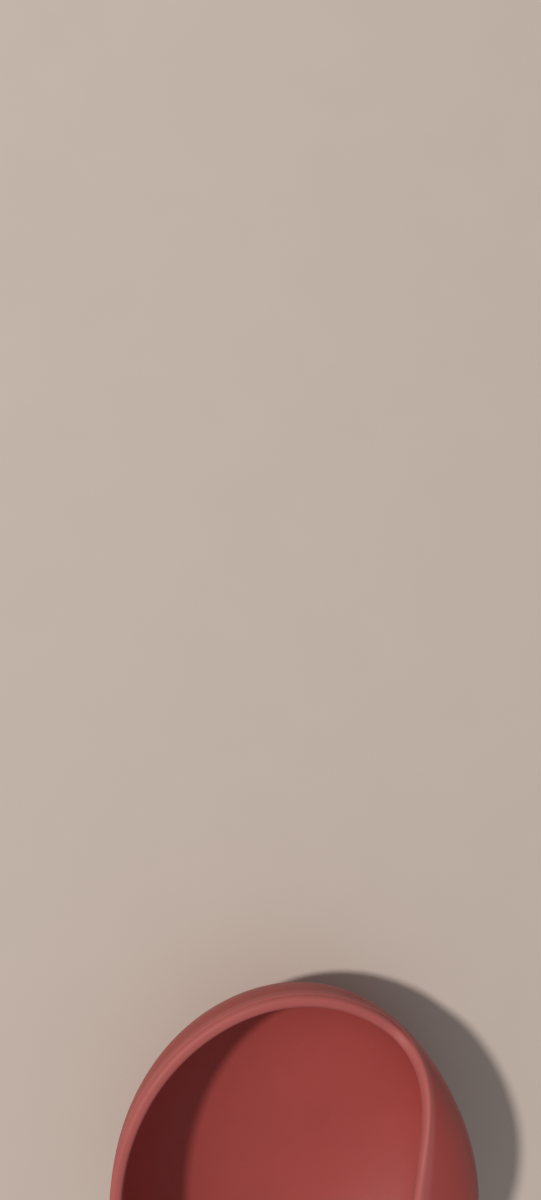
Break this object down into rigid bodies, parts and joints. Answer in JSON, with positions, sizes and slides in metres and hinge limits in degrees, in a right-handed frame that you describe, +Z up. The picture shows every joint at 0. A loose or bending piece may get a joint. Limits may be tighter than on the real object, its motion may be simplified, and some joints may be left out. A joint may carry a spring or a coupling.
{
  "type": "suction bowl",
  "caption": "Oval silicone baby bowl with a rounded rim that curls into a scoop lip on one side, standing on a suction cup with a release tab.",
  "frame": {"origin": "on the bowl's axis, in the plane of the table that the sealing lip rests on", "axes": "+Z up out of the bowl, +X from the axis towards the curled-in scoop lip, -X towards the release tab, +Y square to both"},
  "size_m": [0.123, 0.127, 0.0681],
  "materials": {
    "bowl_silicone": "matte soft-touch moulded silicone, dusty rose",
    "cup_silicone": "softer silicone in the same dusty rose, satin where it seals",
    "tab_silicone": "matte silicone with finger ribs, dusty rose"
  },
  "bodies": {
    "seal": {"sealing_lip": "cup_silicone", "suction_skirt": "cup_silicone"},
    "bowl": {"bowl_body": "bowl_silicone", "suction_hub": "cup_silicone"},
    "tab": {"release_tab": "tab_silicone"}
  },
  "joints": [
    {"name": "press_to_seal", "type": "slide", "parent": "seal", "child": "bowl", "axis": [0, 0, -1], "range_m": [0, 0.002], "deforming": ["suction_skirt"]},
    {"name": "tab_lift", "type": "hinge", "parent": "seal", "child": "tab", "pos_m": [-0.04335, 0, 0.0011], "axis": [0, 1, 0], "range_deg": [0, 35], "stiffness_Nm_per_rad": 0.02}
  ]
}
